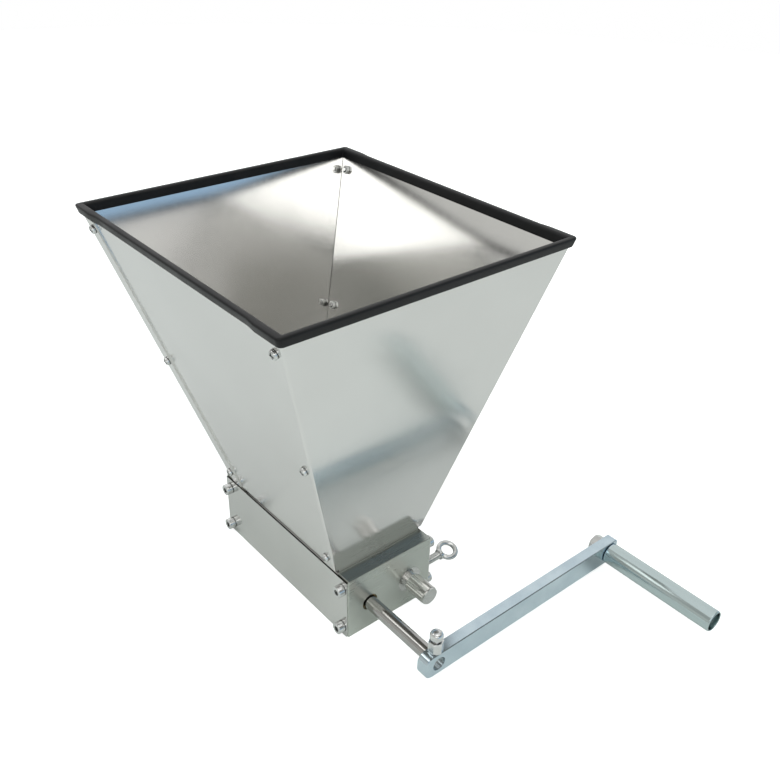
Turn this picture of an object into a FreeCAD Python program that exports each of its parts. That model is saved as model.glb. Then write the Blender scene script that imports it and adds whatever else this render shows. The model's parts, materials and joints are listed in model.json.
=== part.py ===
import FreeCAD, Part
import math
import os

from FreeCAD import Vector

# Hand-cranked grain mill with two rollers and a sheet-metal hopper, in millimetres.
# The origin is on the base plane, midway between the end plates.
# +X runs along the rollers to the crank end, -Y is the front cover's side and +Z is up.

# Rollers and the gap between them
roller_length = 127.0
roller_diameter = 34.0
roller_collar = 1.2
flute_count = 48
flute_depth = 0.6
journal_diameter = 10.0
gap_smallest = 0.6
gap_at_rest = 1.2
gap_largest = 3.0

# Mill body
floor_gap = 5.5
plate_thickness = 12.0
plate_edge_chamfer = 0.3
cover_sheet = 1.2
cover_end_inset = 1.0
cover_foot_gap = 0.5
cover_top_gap = 1.4
cover_screw_low = 7.5
cover_screw_below_top = 9.8
roller_side_clearance = 0.4
base_hole_spacing = 40.0
base_hole_diameter = 5.0
base_hole_depth = 10.0

# Shaft bushes
bush_flange = 1.0
bush_length = 9.0
bush_wall = 3.0
bush_flange_reach = 2.5
end_float = 0.15
far_journal_recess = 1.5

# Gap adjusters
adjuster_diameter = 20.0
adjuster_flange_reach = 2.0
idler_bush_wall = 1.5
idler_bush_length = 10.0
idler_bush_end_room = 0.5
knob_diameter = 14.0
knob_neck_diameter = 11.0
knob_neck_length = 3.0
knob_length = 19.0
knob_flute_count = 24
knob_flute_depth = 0.5
knob_collar = 1.0

# Eye bolts that lock the adjusters
lock_diameter = 6.0
lock_tip_gap = 0.2
lock_reach = 24.0
ring_bore = 9.0
ring_wire = 3.8
ring_wire_sides = 8
collar_diameter = 8.0
collar_length = 2.5
drive_ring_twist = 18.0
far_ring_twist = -35.0

# Hopper
sheet = 1.0
bend_radius = 0.3
seam_gap = 2.4
skirt_roller_gap = 2.0
skirt_lap = 9.5
skirt_end_room = 1.0
rim_height = 270.0
rim_inner_x = 111.0
rim_inner_y = 103.5
flange_width = 12.0
bolt_inset = 7.5
bolt_above_bend = 12.4
bolt_below_rim = 12.0
bolts_per_corner = 3
skirt_screw_spacing = 38.0
skirt_screw_below_plate_top = 5.0

# Rim trim
trim_cover = 2.0
trim_height = 6.2
trim_wall = 1.8
trim_corner = 3.0
trim_edge_round = 1.5
trim_flange_lap = 7.0
trim_ramp = 8.0

# Crank and handle
crank_reach = 173.0
crank_rest_angle = -0.5
arm_gap = 61.85
arm_thickness = 8.5
arm_height = 17.5
arm_hub_reach = 11.7
arm_hub_round = 6.5
arm_tip_reach = 8.0
arm_tip_round = 2.5
arm_chamfer = 0.5
shaft_end_recess = 2.5
clamp_flat_depth = 0.8
clamp_flat_margin = 1.0
lock_nut_across = 9.0
lock_nut_height = 8.5
clamp_neck = 0.3
clamp_head_diameter = 9.0
clamp_head_height = 7.7
clamp_head_chamfer = 2.2
grip_diameter = 16.0
grip_length = 89.5
grip_chamfer = 0.8
handle_nut_across = 13.0
handle_nut_height = 6.5
handle_bolt_past_nut = 1.5
handle_head_recess = 5.0

# Threaded fasteners: their threads, holes and round heads have few sides, because they repeat
fastener_sides = 12
cover_screw_thread = 5.0
cover_screw_length = 10.0
cover_head_diameter = 8.5
cover_head_height = 5.0
cover_head_chamfer = 0.5
cover_key = 4.0
cover_key_depth = 2.5
handle_thread = 8.0
handle_head_diameter = 13.0
handle_head_height = 8.0
handle_head_chamfer = 0.8
handle_key = 6.0
handle_key_depth = 4.0
hopper_thread = 3.0
hopper_head_diameter = 6.0
hopper_head_height = 2.4
hopper_head_chamfer = 1.2
hopper_nut_across = 5.5
hopper_nut_height = 2.4
hopper_bolt_past_nut = 0.8
skirt_thread = 4.0
skirt_screw_length = 8.0
skirt_head_diameter = 7.5
skirt_head_height = 2.6
skirt_head_chamfer = 1.2
clamp_thread = 6.0

# Clearances, each on the radius or on one side
running_fit = 0.06
seat_fit = 0.02
adjuster_fit = 0.05
thread_fit = 0.05
hole_clearance = 0.25
lock_hole_clearance = 0.6
shaft_hole_clearance = 1.3
grip_fit = 0.08
grip_end_gap = 0.3
grip_head_clearance = 0.3
panel_edge_gap = bend_radius + 0.05
cut_past = 1.0

# Rollers: axes and the eccentric that sets the gap
roller_radius = roller_diameter / 2
journal_radius = journal_diameter / 2
eccentricity = (gap_largest - gap_smallest) / 2
axis_spacing = roller_diameter + (gap_smallest + gap_largest) / 2
axis_height = floor_gap + roller_radius
drive_y = -axis_spacing / 2
adjuster_y = axis_spacing / 2
spacing_at_rest = roller_diameter + gap_at_rest
eccentric_reach = axis_spacing ** 2 + eccentricity ** 2 - spacing_at_rest ** 2
eccentric_turn = math.acos(eccentric_reach / (2 * axis_spacing * eccentricity))
idler_y = adjuster_y - eccentricity * math.cos(eccentric_turn)
idler_z = axis_height + eccentricity * math.sin(eccentric_turn)

# Body outline
roller_end_x = roller_length / 2
plate_inner_x = roller_end_x + end_float + bush_flange
plate_outer_x = plate_inner_x + plate_thickness
plate_middle_x = plate_inner_x + plate_thickness / 2
plate_half_depth = axis_spacing / 2 + roller_radius + eccentricity + roller_side_clearance
skirt_bottom = axis_height + roller_radius + skirt_roller_gap
plate_height = skirt_bottom + skirt_lap
cover_outer_y = plate_half_depth + cover_sheet
cover_screw_heights = [cover_screw_low, plate_height - cover_screw_below_top]
bush_radius = journal_radius + running_fit + bush_wall
idler_bush_radius = journal_radius + running_fit + idler_bush_wall
adjuster_radius = adjuster_diameter / 2
lock_radius = lock_diameter / 2

# Hopper outline: its inner faces are the datum
bend_height = plate_height + seam_gap
throat_half_x = plate_inner_x - sheet
throat_half_y = cover_outer_y - sheet
end_lean = math.atan((rim_inner_x - throat_half_x) / (rim_height - bend_height))
side_lean = math.atan((rim_inner_y - throat_half_y) / (rim_height - bend_height))
skirt_half_width = plate_half_depth - skirt_end_room
skirt_screw_height = plate_height - skirt_screw_below_plate_top

# Crank outline
arm_inner_x = plate_outer_x + arm_gap
arm_outer_x = arm_inner_x + arm_thickness
arm_middle_x = arm_inner_x + arm_thickness / 2
shaft_end_x = arm_outer_x - shaft_end_recess
grip_inner_x = arm_outer_x + grip_end_gap
grip_outer_x = grip_inner_x + grip_length
handle_head_seat_x = grip_outer_x - handle_head_recess - handle_head_height

x_axis = Vector(1, 0, 0)
z_axis = Vector(0, 0, 1)
shaft_line = Vector(0, drive_y, axis_height)


def block(low, high):
    """Box between two corners."""
    size = high - low
    return Part.makeBox(size.x, size.y, size.z, low)


def rod(radius, start, end):
    """Cylinder between two points."""
    return Part.makeCylinder(radius, start.distanceToPoint(end), start, end - start)


def rod_x(radius, x_start, x_end, y, z):
    """Cylinder along X."""
    return rod(radius, Vector(x_start, y, z), Vector(x_end, y, z))


def fused(shapes):
    """One solid from touching or overlapping solids."""
    return shapes[0].multiFuse(shapes[1:]).removeSplitter()


def mirrored(shape):
    """The same piece at the far end of the mill."""
    return shape.mirror(Vector(), x_axis)


def placed(shape, foot, direction):
    """Copy of a piece modelled along +Z, moved to a foot point and turned to a direction."""
    copy = shape.copy()
    copy.Placement = FreeCAD.Placement(foot, FreeCAD.Rotation(z_axis, direction))
    return copy


def circle_edges(solid, radius):
    """Round edges of one radius."""
    return [edge for edge in solid.Edges
            if isinstance(edge.Curve, Part.Circle) and abs(edge.Curve.Radius - radius) < 1e-6]


def prism(sides, radius, low, high):
    """Regular prism along Z with its corners at a radius."""
    points = []
    for index in range(sides):
        angle = 2 * math.pi * index / sides
        points.append(Vector(radius * math.cos(angle), radius * math.sin(angle), low))
    return Part.Face(Part.makePolygon(points + points[:1])).extrude(Vector(0, 0, high - low))


def hexagon(across_flats, low, high):
    """Hexagonal prism along Z."""
    return prism(6, across_flats / math.sqrt(3), low, high)


def fastener_hole(radius, low, high):
    """Cutter along Z whose flats clear a fastener of a radius."""
    return prism(fastener_sides, radius / math.cos(math.pi / fastener_sides), low, high)


def hexagon_nut(across_flats, height, thread):
    """Nut standing on z = 0."""
    bore = fastener_hole(thread / 2 + thread_fit, -cut_past, height + cut_past)
    return hexagon(across_flats, 0, height).cut(bore)


def fastener_head(diameter, height, chamfer):
    """Round head standing on z = 0, with its top edge turned down."""
    head = prism(fastener_sides, diameter / 2, 0, height)
    top_edges = [edge for edge in head.Edges if edge.BoundBox.ZMin > height - 1e-6]
    return head.makeChamfer(chamfer, top_edges)


def screw(head, thread, length):
    """Screw along Z with its head's seat at z = 0."""
    return fused([head, prism(fastener_sides, thread / 2, -length, 0)])


def fluted_rod(radius, depth, count, collar, x_start, x_end, y, z):
    """Rod along X with straight V flutes all round, between two plain collars at the root of the flutes."""
    points = []
    half_pitch = math.pi / count
    for index in range(2 * count):
        reach = radius - depth * (index % 2)
        angle = index * half_pitch
        points.append(Vector(x_start + collar, y + reach * math.cos(angle), z + reach * math.sin(angle)))
    outline = Part.makePolygon(points + points[:1])
    fluted = Part.Face(outline).extrude(Vector(x_end - x_start - 2 * collar, 0, 0))
    collars = [rod_x(radius - depth, x, x + collar, y, z) for x in (x_start, x_end - collar)]
    return fused([fluted] + collars)


def half_x(height, offset):
    """Half width of the hopper at a height, moved out from the inner faces of its end panels."""
    return throat_half_x + (height - bend_height) * math.tan(end_lean) + offset / math.cos(end_lean)


def half_y(height, offset):
    """Half depth of the hopper at a height, moved out from the inner faces of its front and rear panels."""
    return throat_half_y + (height - bend_height) * math.tan(side_lean) + offset / math.cos(side_lean)


def funnel(end_offset, side_offset, low, high, corner=0.0):
    """Four-sided taper whose faces lie at two offsets from the hopper's inner faces."""
    x_low, x_high = half_x(low, end_offset), half_x(high, end_offset)
    y_low, y_high = half_y(low, side_offset), half_y(high, side_offset)
    taper = Part.makeWedge(-x_low, low, -y_low, -y_high, -x_high, x_low, high, y_low, y_high, x_high)
    taper.rotate(Vector(), x_axis, 90)
    if corner > 0:
        uprights = [edge for edge in taper.Edges if edge.BoundBox.ZLength > (high - low) / 2]
        taper = taper.makeFillet(corner, uprights)
    return taper


def rounded_top(taper, height):
    """Taper with its top rim rounded."""
    rim = [edge for edge in taper.Edges if edge.BoundBox.ZMin > height - 1e-6]
    return taper.makeFillet(trim_edge_round, rim)


def at_corners():
    """Each hopper bolt's place on a panel's inner face, with the direction its head faces."""
    lowest = bend_height + bolt_above_bend
    step = (rim_height - bolt_below_rim - lowest) / (bolts_per_corner - 1)
    for index in range(bolts_per_corner):
        height = lowest + index * step
        for end in (-1, 1):
            for side in (-1, 1):
                foot = Vector(end * (half_x(height, sheet) - bolt_inset), side * half_y(height, 0), height)
                yield foot, Vector(0, side * math.cos(side_lean), -math.sin(side_lean))


def at_skirt_screws():
    """Each skirt screw's place on a skirt's inner face, with the direction its head faces."""
    for end in (-1, 1):
        for y in (-skirt_screw_spacing / 2, skirt_screw_spacing / 2):
            yield Vector(end * throat_half_x, y, skirt_screw_height), Vector(-end, 0, 0)


def at_cover_screws(side):
    """Each cover screw's place on the outer face of the front (-1) or rear (1) cover."""
    for x in (-plate_middle_x, plate_middle_x):
        for z in cover_screw_heights:
            yield Vector(x, side * cover_outer_y, z), Vector(0, side, 0)


def drilled(shape, places, radius, ahead, behind):
    """Cut one hole per place, reaching ahead of it and behind it along its direction."""
    hole = fastener_hole(radius, -behind, ahead)
    return shape.cut([placed(hole, foot, direction) for foot, direction in places])


def make_end_plate():
    """Thick plate at the crank end, with its bores and tapped holes."""
    plate = block(Vector(plate_inner_x, -plate_half_depth, 0),
                  Vector(plate_outer_x, plate_half_depth, plate_height))
    plate = plate.makeChamfer(plate_edge_chamfer, plate.Edges)
    bores = [
        rod_x(bush_radius + seat_fit, plate_inner_x - cut_past, plate_inner_x + bush_length,
              drive_y, axis_height),
        rod_x(journal_radius + shaft_hole_clearance, plate_inner_x, plate_outer_x + cut_past,
              drive_y, axis_height),
        rod_x(adjuster_radius + adjuster_fit, plate_inner_x - cut_past, plate_outer_x + cut_past,
              adjuster_y, axis_height),
        rod(lock_radius + thread_fit, Vector(plate_middle_x, adjuster_y, axis_height),
            Vector(plate_middle_x, plate_half_depth + cut_past, axis_height)),
    ]
    for y in (-base_hole_spacing / 2, base_hole_spacing / 2):
        bores.append(rod(base_hole_diameter / 2, Vector(plate_middle_x, y, -cut_past),
                         Vector(plate_middle_x, y, base_hole_depth)))
    plate = plate.cut(bores)
    for side in (-1, 1):
        plate = drilled(plate, at_cover_screws(side), cover_screw_thread / 2 + thread_fit, cut_past,
                        cover_screw_length + cut_past)
    return drilled(plate, at_skirt_screws(), skirt_thread / 2 + thread_fit, cut_past,
                   skirt_screw_length + cut_past)


def make_cover(side):
    """Sheet that closes the front (-1) or rear (1) of the body."""
    half_width = plate_outer_x - cover_end_inset
    y_low, y_high = sorted([side * plate_half_depth, side * cover_outer_y])
    cover = block(Vector(-half_width, y_low, cover_foot_gap),
                  Vector(half_width, y_high, plate_height - cover_top_gap))
    cover = drilled(cover, at_cover_screws(side), cover_screw_thread / 2 + hole_clearance, cut_past,
                    cover_sheet + cut_past)
    if side > 0:
        locks = [(Vector(x, cover_outer_y, axis_height), Vector(0, 1, 0))
                 for x in (-plate_middle_x, plate_middle_x)]
        cover = drilled(cover, locks, lock_radius + lock_hole_clearance, cut_past, cover_sheet + cut_past)
    return cover


def make_cover_screws():
    """Cap screws through both covers into the end plates."""
    head = fastener_head(cover_head_diameter, cover_head_height, cover_head_chamfer)
    socket = hexagon(cover_key, cover_head_height - cover_key_depth, cover_head_height + cut_past)
    cap_screw = screw(head.cut(socket), cover_screw_thread, cover_screw_length)
    places = list(at_cover_screws(-1)) + list(at_cover_screws(1))
    return Part.makeCompound([placed(cap_screw, foot, direction) for foot, direction in places])


def make_end_panel():
    """Hopper panel at the crank end: a leaning web, flanges bent over the neighbours, and a skirt."""
    past = cut_past
    outer = funnel(sheet, 2 * sheet, bend_height, rim_height, bend_radius + sheet)
    inner = funnel(0, sheet, bend_height - past, rim_height + past, bend_radius)
    between_flanges = funnel(sheet - flange_width, 3 * sheet, bend_height - past, rim_height + past)
    folded = outer.cut(inner).cut(between_flanges)
    web = max(folded.Solids, key=lambda solid: solid.CenterOfMass.x)
    corners = [
        Vector(throat_half_x, 0, skirt_bottom),
        Vector(throat_half_x, 0, bend_height),
        Vector(throat_half_x + sheet / math.cos(end_lean), 0, bend_height),
        Vector(throat_half_x + sheet, 0, bend_height - sheet * math.tan(end_lean / 2)),
        Vector(throat_half_x + sheet, 0, skirt_bottom),
    ]
    skirt = Part.Face(Part.makePolygon(corners + corners[:1])).extrude(Vector(0, 2 * skirt_half_width, 0))
    skirt.translate(Vector(0, -skirt_half_width, 0))
    panel = fused([web, skirt])
    panel = drilled(panel, at_skirt_screws(), skirt_thread / 2 + hole_clearance, cut_past, sheet + cut_past)
    return drilled(panel, at_corners(), hopper_thread / 2 + hole_clearance, 2 * sheet + cut_past, cut_past)


def make_side_panel(side):
    """Flat hopper panel at the front (-1) or rear (1), lapped by the end panels' flanges."""
    past = cut_past
    outer = funnel(-panel_edge_gap, sheet, bend_height, rim_height)
    inner = funnel(sheet, 0, bend_height - past, rim_height + past)
    panel = max(outer.cut(inner).Solids, key=lambda solid: side * solid.CenterOfMass.y)
    return drilled(panel, at_corners(), hopper_thread / 2 + hole_clearance, 2 * sheet + cut_past, cut_past)


def make_hopper_bolts():
    """Pan-head bolts through the lapped corners, heads outside."""
    length = 2 * sheet + hopper_nut_height + hopper_bolt_past_nut
    head = fastener_head(hopper_head_diameter, hopper_head_height, hopper_head_chamfer)
    bolt = screw(head, hopper_thread, length)
    return Part.makeCompound([placed(bolt, foot + direction * 2 * sheet, direction)
                              for foot, direction in at_corners()])


def make_hopper_nuts():
    """Nuts on the hopper bolts, inside the hopper."""
    nut = hexagon_nut(hopper_nut_across, hopper_nut_height, hopper_thread)
    return Part.makeCompound([placed(nut, foot, direction * -1) for foot, direction in at_corners()])


def make_skirt_screws():
    """Pan-head screws that hold the hopper's skirts to the end plates."""
    head = fastener_head(skirt_head_diameter, skirt_head_height, skirt_head_chamfer)
    pan_screw = screw(head, skirt_thread, skirt_screw_length)
    return Part.makeCompound([placed(pan_screw, foot, direction) for foot, direction in at_skirt_screws()])


def make_rim_trim(panels):
    """Rubber channel pushed over the hopper's top edge, which bulges over the corner flanges."""
    low = rim_height + trim_cover - trim_height
    high = rim_height + trim_cover
    wall = sheet + trim_wall
    over_panels = rounded_top(funnel(wall, wall, low, high, trim_corner), high)
    over_flanges = rounded_top(funnel(wall, wall + sheet, low, high, trim_corner), high)
    bulge_x = half_x(high, sheet) - flange_width - trim_flange_lap
    plain_x = bulge_x - trim_ramp
    wall_y = half_y(low, sheet)
    past_y = half_y(high, wall + sheet) + cut_past
    for side in (-1, 1):
        corners = [Vector(-plain_x, side * wall_y, low), Vector(plain_x, side * wall_y, low),
                   Vector(bulge_x, side * past_y, low), Vector(-bulge_x, side * past_y, low)]
        between = Part.Face(Part.makePolygon(corners + corners[:1])).extrude(Vector(0, 0, trim_height))
        over_flanges = over_flanges.cut(between)
    inner = funnel(-trim_wall, -trim_wall, low - cut_past, high + cut_past, bend_radius)
    channel = fused([over_panels, over_flanges]).cut(inner)
    mouth = [edge for edge in channel.Edges if edge.BoundBox.ZMin > high - 1e-6
             and abs(edge.CenterOfMass.x) < half_x(high, 0) and abs(edge.CenterOfMass.y) < half_y(high, 0)]
    return channel.makeFillet(trim_edge_round, mouth).cut(panels)


def make_shaft_bush():
    """Flanged bush for the drive shaft at the crank end."""
    flange_x = plate_inner_x - bush_flange
    end_x = plate_inner_x + bush_length
    flange = rod_x(bush_radius + bush_flange_reach, flange_x, plate_inner_x, drive_y, axis_height)
    sleeve = rod_x(bush_radius, flange_x, end_x, drive_y, axis_height)
    bore = rod_x(journal_radius + running_fit, flange_x - cut_past, end_x + cut_past, drive_y, axis_height)
    return fused([flange, sleeve]).cut(bore)


def make_drive_roller():
    """Fluted roller in one piece with its shaft, which has a flat for the clamp screw."""
    roller = fluted_rod(roller_radius, flute_depth, flute_count, roller_collar,
                        -roller_end_x, roller_end_x, drive_y, axis_height)
    shaft = rod_x(journal_radius, far_journal_recess - plate_outer_x, shaft_end_x, drive_y, axis_height)
    flat_z = journal_radius - clamp_flat_depth
    flat = block(Vector(arm_inner_x - clamp_flat_margin, -journal_diameter, flat_z),
                 Vector(shaft_end_x + cut_past, journal_diameter, journal_diameter))
    return fused([roller, shaft]).cut(turned_with_crank(flat))


def turned_with_crank(shape):
    """Move a piece modelled about X, with the arm along +Y, to the shaft and the crank's rest angle."""
    shape.rotate(Vector(), x_axis, crank_rest_angle)
    shape.translate(shaft_line)
    return shape


def make_crank_arm():
    """Flat bar with rounded corners, bored for the shaft, the clamp screw and the handle bolt."""
    hub_y = -arm_hub_reach
    tip_y = crank_reach + arm_tip_reach
    bar = block(Vector(arm_inner_x, hub_y, -arm_height / 2), Vector(arm_outer_x, tip_y, arm_height / 2))
    for end_y, corner_round in ((hub_y, arm_hub_round), (tip_y, arm_tip_round)):
        corners = [edge for edge in bar.Edges
                   if abs(edge.CenterOfMass.y - end_y) < 1e-6 and edge.BoundBox.XLength > arm_thickness / 2]
        bar = bar.makeFillet(corner_round, corners)
    rims = [edge for edge in bar.Edges if edge.BoundBox.XLength < arm_thickness / 2]
    bar = bar.makeChamfer(arm_chamfer, rims)
    holes = [
        rod_x(journal_radius + running_fit, arm_inner_x - cut_past, arm_outer_x + cut_past, 0, 0),
        rod_x(handle_thread / 2 + thread_fit, arm_inner_x - cut_past, arm_outer_x + cut_past, crank_reach, 0),
        rod(clamp_thread / 2 + thread_fit, Vector(arm_middle_x, 0, 0), Vector(arm_middle_x, 0, arm_height)),
    ]
    return turned_with_crank(bar.cut(holes))


def make_crank_lock_nut():
    """High nut on the arm that locks the clamp screw."""
    nut = hexagon_nut(lock_nut_across, lock_nut_height, clamp_thread)
    nut.translate(Vector(arm_middle_x, 0, arm_height / 2))
    return turned_with_crank(nut)


def make_clamp_screw():
    """Screw whose tip bears on the shaft's flat and whose round head stands above the lock nut."""
    seat = arm_height / 2 + lock_nut_height + clamp_neck
    tip = journal_radius - clamp_flat_depth + thread_fit
    radius = clamp_head_diameter / 2
    head = Part.makeCylinder(radius, clamp_head_height, Vector(0, 0, seat))
    head = head.makeChamfer(clamp_head_chamfer, circle_edges(head, radius))
    clamp_screw = fused([head, Part.makeCylinder(clamp_thread / 2, seat - tip, Vector(0, 0, tip))])
    clamp_screw.translate(Vector(arm_middle_x, 0, 0))
    return turned_with_crank(clamp_screw)


def make_grip():
    """Tube that turns on the handle bolt, with a recess for the bolt's head."""
    radius = grip_diameter / 2
    tube = rod_x(radius, grip_inner_x, grip_outer_x, crank_reach, 0)
    tube = tube.makeChamfer(grip_chamfer, circle_edges(tube, radius))
    bore = rod_x(handle_thread / 2 + grip_fit, grip_inner_x - cut_past, grip_outer_x, crank_reach, 0)
    recess = rod_x(handle_head_diameter / 2 + grip_head_clearance, handle_head_seat_x - grip_end_gap,
                   grip_outer_x + cut_past, crank_reach, 0)
    return turned_with_crank(tube.cut([bore, recess]))


def make_handle_bolt():
    """Cap screw that carries the grip and passes through the arm into its nut."""
    length = handle_head_seat_x - arm_inner_x + handle_nut_height + handle_bolt_past_nut
    head = fastener_head(handle_head_diameter, handle_head_height, handle_head_chamfer)
    socket = hexagon(handle_key, handle_head_height - handle_key_depth, handle_head_height + cut_past)
    shank = Part.makeCylinder(handle_thread / 2, length, Vector(0, 0, -length))
    bolt = fused([head.cut(socket), shank])
    return turned_with_crank(placed(bolt, Vector(handle_head_seat_x, crank_reach, 0), x_axis))


def make_handle_nut():
    """Nut behind the arm on the handle bolt."""
    nut = hexagon_nut(handle_nut_across, handle_nut_height, handle_thread)
    return turned_with_crank(placed(nut, Vector(arm_inner_x, crank_reach, 0), x_axis * -1))


def make_adjuster():
    """Eccentric at the crank end: a disc that turns in the plate, with a knurled knob outside."""
    knob_x = plate_outer_x + knob_neck_length
    inner_x = plate_inner_x - bush_flange
    solids = [
        rod_x(adjuster_radius, inner_x, plate_outer_x, adjuster_y, axis_height),
        rod_x(adjuster_radius + adjuster_flange_reach, inner_x, plate_inner_x, adjuster_y, axis_height),
        rod_x(knob_neck_diameter / 2, plate_outer_x, knob_x, adjuster_y, axis_height),
        fluted_rod(knob_diameter / 2, knob_flute_depth, knob_flute_count, knob_collar,
                   knob_x, knob_x + knob_length, adjuster_y, axis_height),
    ]
    pocket = rod_x(idler_bush_radius + seat_fit, inner_x - cut_past,
                   inner_x + idler_bush_length + idler_bush_end_room, idler_y, idler_z)
    return fused(solids).cut(pocket)


def make_idler_bush():
    """Plain bush in the crank-end eccentric."""
    inner_x = plate_inner_x - bush_flange
    sleeve = rod_x(idler_bush_radius, inner_x, inner_x + idler_bush_length, idler_y, idler_z)
    bore = rod_x(journal_radius + running_fit, inner_x - cut_past, inner_x + idler_bush_length + cut_past,
                 idler_y, idler_z)
    return sleeve.cut(bore)


def make_idler_roller():
    """Fluted roller with a short journal at each end, carried by the two eccentrics."""
    roller = fluted_rod(roller_radius, flute_depth, flute_count, roller_collar,
                        -roller_end_x, roller_end_x, idler_y, idler_z)
    journal_end_x = plate_inner_x - bush_flange + idler_bush_length
    return fused([roller, rod_x(journal_radius, -journal_end_x, journal_end_x, idler_y, idler_z)])


def make_eye_ring():
    """Ring about Z, bent from wire."""
    middle = (ring_bore + ring_wire) / 2
    points = []
    for index in range(ring_wire_sides):
        angle = 2 * math.pi * (index + 0.5) / ring_wire_sides
        points.append(Vector(middle + ring_wire / 2 * math.cos(angle), 0, ring_wire / 2 * math.sin(angle)))
    return Part.Face(Part.makePolygon(points + points[:1])).revolve(Vector(), z_axis, 360)


def make_lock_bolt(twist):
    """Eye bolt at the crank end whose tip holds the adjuster, with its ring turned about the thread."""
    tip_y = adjuster_y + adjuster_radius + lock_tip_gap
    ring_y = plate_half_depth + lock_reach
    wire_y = ring_y - (ring_bore + ring_wire) / 2
    collar_end_y = ring_y - ring_bore / 2 - ring_wire / 2
    ring = make_eye_ring()
    ring.rotate(Vector(), Vector(0, 1, 0), twist)
    ring.translate(Vector(plate_middle_x, ring_y, axis_height))
    shank = rod(lock_radius, Vector(plate_middle_x, tip_y, axis_height),
                Vector(plate_middle_x, wire_y, axis_height))
    collar = rod(collar_diameter / 2, Vector(plate_middle_x, collar_end_y - collar_length, axis_height),
                 Vector(plate_middle_x, collar_end_y, axis_height))
    return fused([ring, shank, collar])


def make_parts():
    """Every piece of the mill by name."""
    end_panel = make_end_panel()
    panels = [end_panel, mirrored(end_panel), make_side_panel(-1), make_side_panel(1)]
    plate = make_end_plate()
    bush = make_shaft_bush()
    adjuster = make_adjuster()
    idler_bush = make_idler_bush()
    return {
        "drive_end_plate": plate,
        "far_end_plate": mirrored(plate),
        "front_cover": make_cover(-1),
        "rear_cover": make_cover(1),
        "cover_screws": make_cover_screws(),
        "hopper_drive_side_panel": panels[0],
        "hopper_far_side_panel": panels[1],
        "hopper_front_panel": panels[2],
        "hopper_rear_panel": panels[3],
        "hopper_bolts": make_hopper_bolts(),
        "hopper_nuts": make_hopper_nuts(),
        "hopper_skirt_screws": make_skirt_screws(),
        "rim_trim": make_rim_trim(panels),
        "drive_side_shaft_bush": bush,
        "far_side_shaft_bush": mirrored(bush),
        "drive_roller": make_drive_roller(),
        "crank_arm": make_crank_arm(),
        "crank_lock_nut": make_crank_lock_nut(),
        "crank_clamp_screw": make_clamp_screw(),
        "crank_grip": make_grip(),
        "handle_bolt": make_handle_bolt(),
        "handle_nut": make_handle_nut(),
        "drive_side_adjuster": adjuster,
        "far_side_adjuster": mirrored(adjuster),
        "drive_side_idler_bush": idler_bush,
        "far_side_idler_bush": mirrored(idler_bush),
        "idler_roller": make_idler_roller(),
        "drive_side_lock_bolt": make_lock_bolt(drive_ring_twist),
        "far_side_lock_bolt": mirrored(make_lock_bolt(far_ring_twist)),
    }


os.makedirs("parts", exist_ok=True)
for name, shape in make_parts().items():
    shape.exportStep("parts/" + name + ".step")
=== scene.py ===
"""Looks of a hand-cranked grain mill with two rollers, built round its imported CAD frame, in metres."""

import json
import math
from functools import partial

import bmesh
import bpy
from mathutils import Matrix, Vector


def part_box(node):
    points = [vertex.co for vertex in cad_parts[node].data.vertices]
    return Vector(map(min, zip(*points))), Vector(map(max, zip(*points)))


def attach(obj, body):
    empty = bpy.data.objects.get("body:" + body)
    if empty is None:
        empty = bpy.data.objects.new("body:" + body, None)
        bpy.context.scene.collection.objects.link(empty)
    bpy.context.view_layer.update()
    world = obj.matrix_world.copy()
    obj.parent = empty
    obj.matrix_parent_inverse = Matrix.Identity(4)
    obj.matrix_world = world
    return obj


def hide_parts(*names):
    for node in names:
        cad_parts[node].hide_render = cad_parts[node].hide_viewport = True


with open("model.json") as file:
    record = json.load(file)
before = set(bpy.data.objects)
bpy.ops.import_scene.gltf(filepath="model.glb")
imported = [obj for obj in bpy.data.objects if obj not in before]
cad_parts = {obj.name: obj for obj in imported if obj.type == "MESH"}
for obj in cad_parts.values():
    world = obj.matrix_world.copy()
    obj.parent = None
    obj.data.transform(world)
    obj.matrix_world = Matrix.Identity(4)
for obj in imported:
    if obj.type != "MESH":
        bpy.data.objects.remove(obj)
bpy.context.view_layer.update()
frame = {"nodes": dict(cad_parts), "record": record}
mm = 0.001

# Camera, solved from the photograph
picture_side = 780
focal_pixels = 904.66
sensor_width = 36.0
camera_near = 0.01
camera_place = Vector((0.42836, -0.30956, 0.47203))
camera_azimuth = math.radians(49.155)
camera_elevation = math.radians(31.338)
camera_roll = math.radians(1.694)

# Stage
floor_radius = 2.3
floor_sides = 96
floor_colour = (0.79, 0.825, 0.80)
floor_glow_seen = 0.72
floor_glow_mirrored = 0.03
card_radius = 2.4
card_steps = 16
background_strength = 1.0

# Dome of light: how fast its two sides fade, and each side's azimuth and elevation in degrees and colour
dome_power = 6.0
dome_sides = ((300, 75, (2.75, 2.8, 2.85)), (0, 15, (1.2, 1.2, 1.15)))

# Noise in the materials
noise_low = 0.32
noise_high = 0.68
cloud_detail = 3.0
grain_detail = 5.0
wave_scale = 9.0
wave_detail = 1.0

# Faces with a colour or finish of their own, and painted shade on cut edges, in narrow hollows, on a
# plate's level faces and on the handle
# Painted shade: near black on the level cut edges of sheets, where slits and gaps are dark, and deep in
# narrow hollows
painted_shade_colour = (0.05, 0.05, 0.047)
level_normal = 0.9
# Painted shade deep in the hollows of fasteners, from ambient occlusion over a short reach
recess_reach = 1.2 * mm
recess_samples = 6
recess_deep = 0.35
recess_open = 0.85
brushed_amount = 0.8
# Darker level faces of a plate: a duller sawn finish and painted shade
plate_edge_shade_colour = (0.34, 0.365, 0.34)
barrel_end = 64.5 * mm
barrel_colour = (0.36, 0.352, 0.34)
barrel_dullness = 0.35
# Handle painted greyer than the arm from here outwards: painted shade
grip_start = 148.5 * mm
grip_shade_colour = (0.46, 0.54, 0.54)

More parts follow.
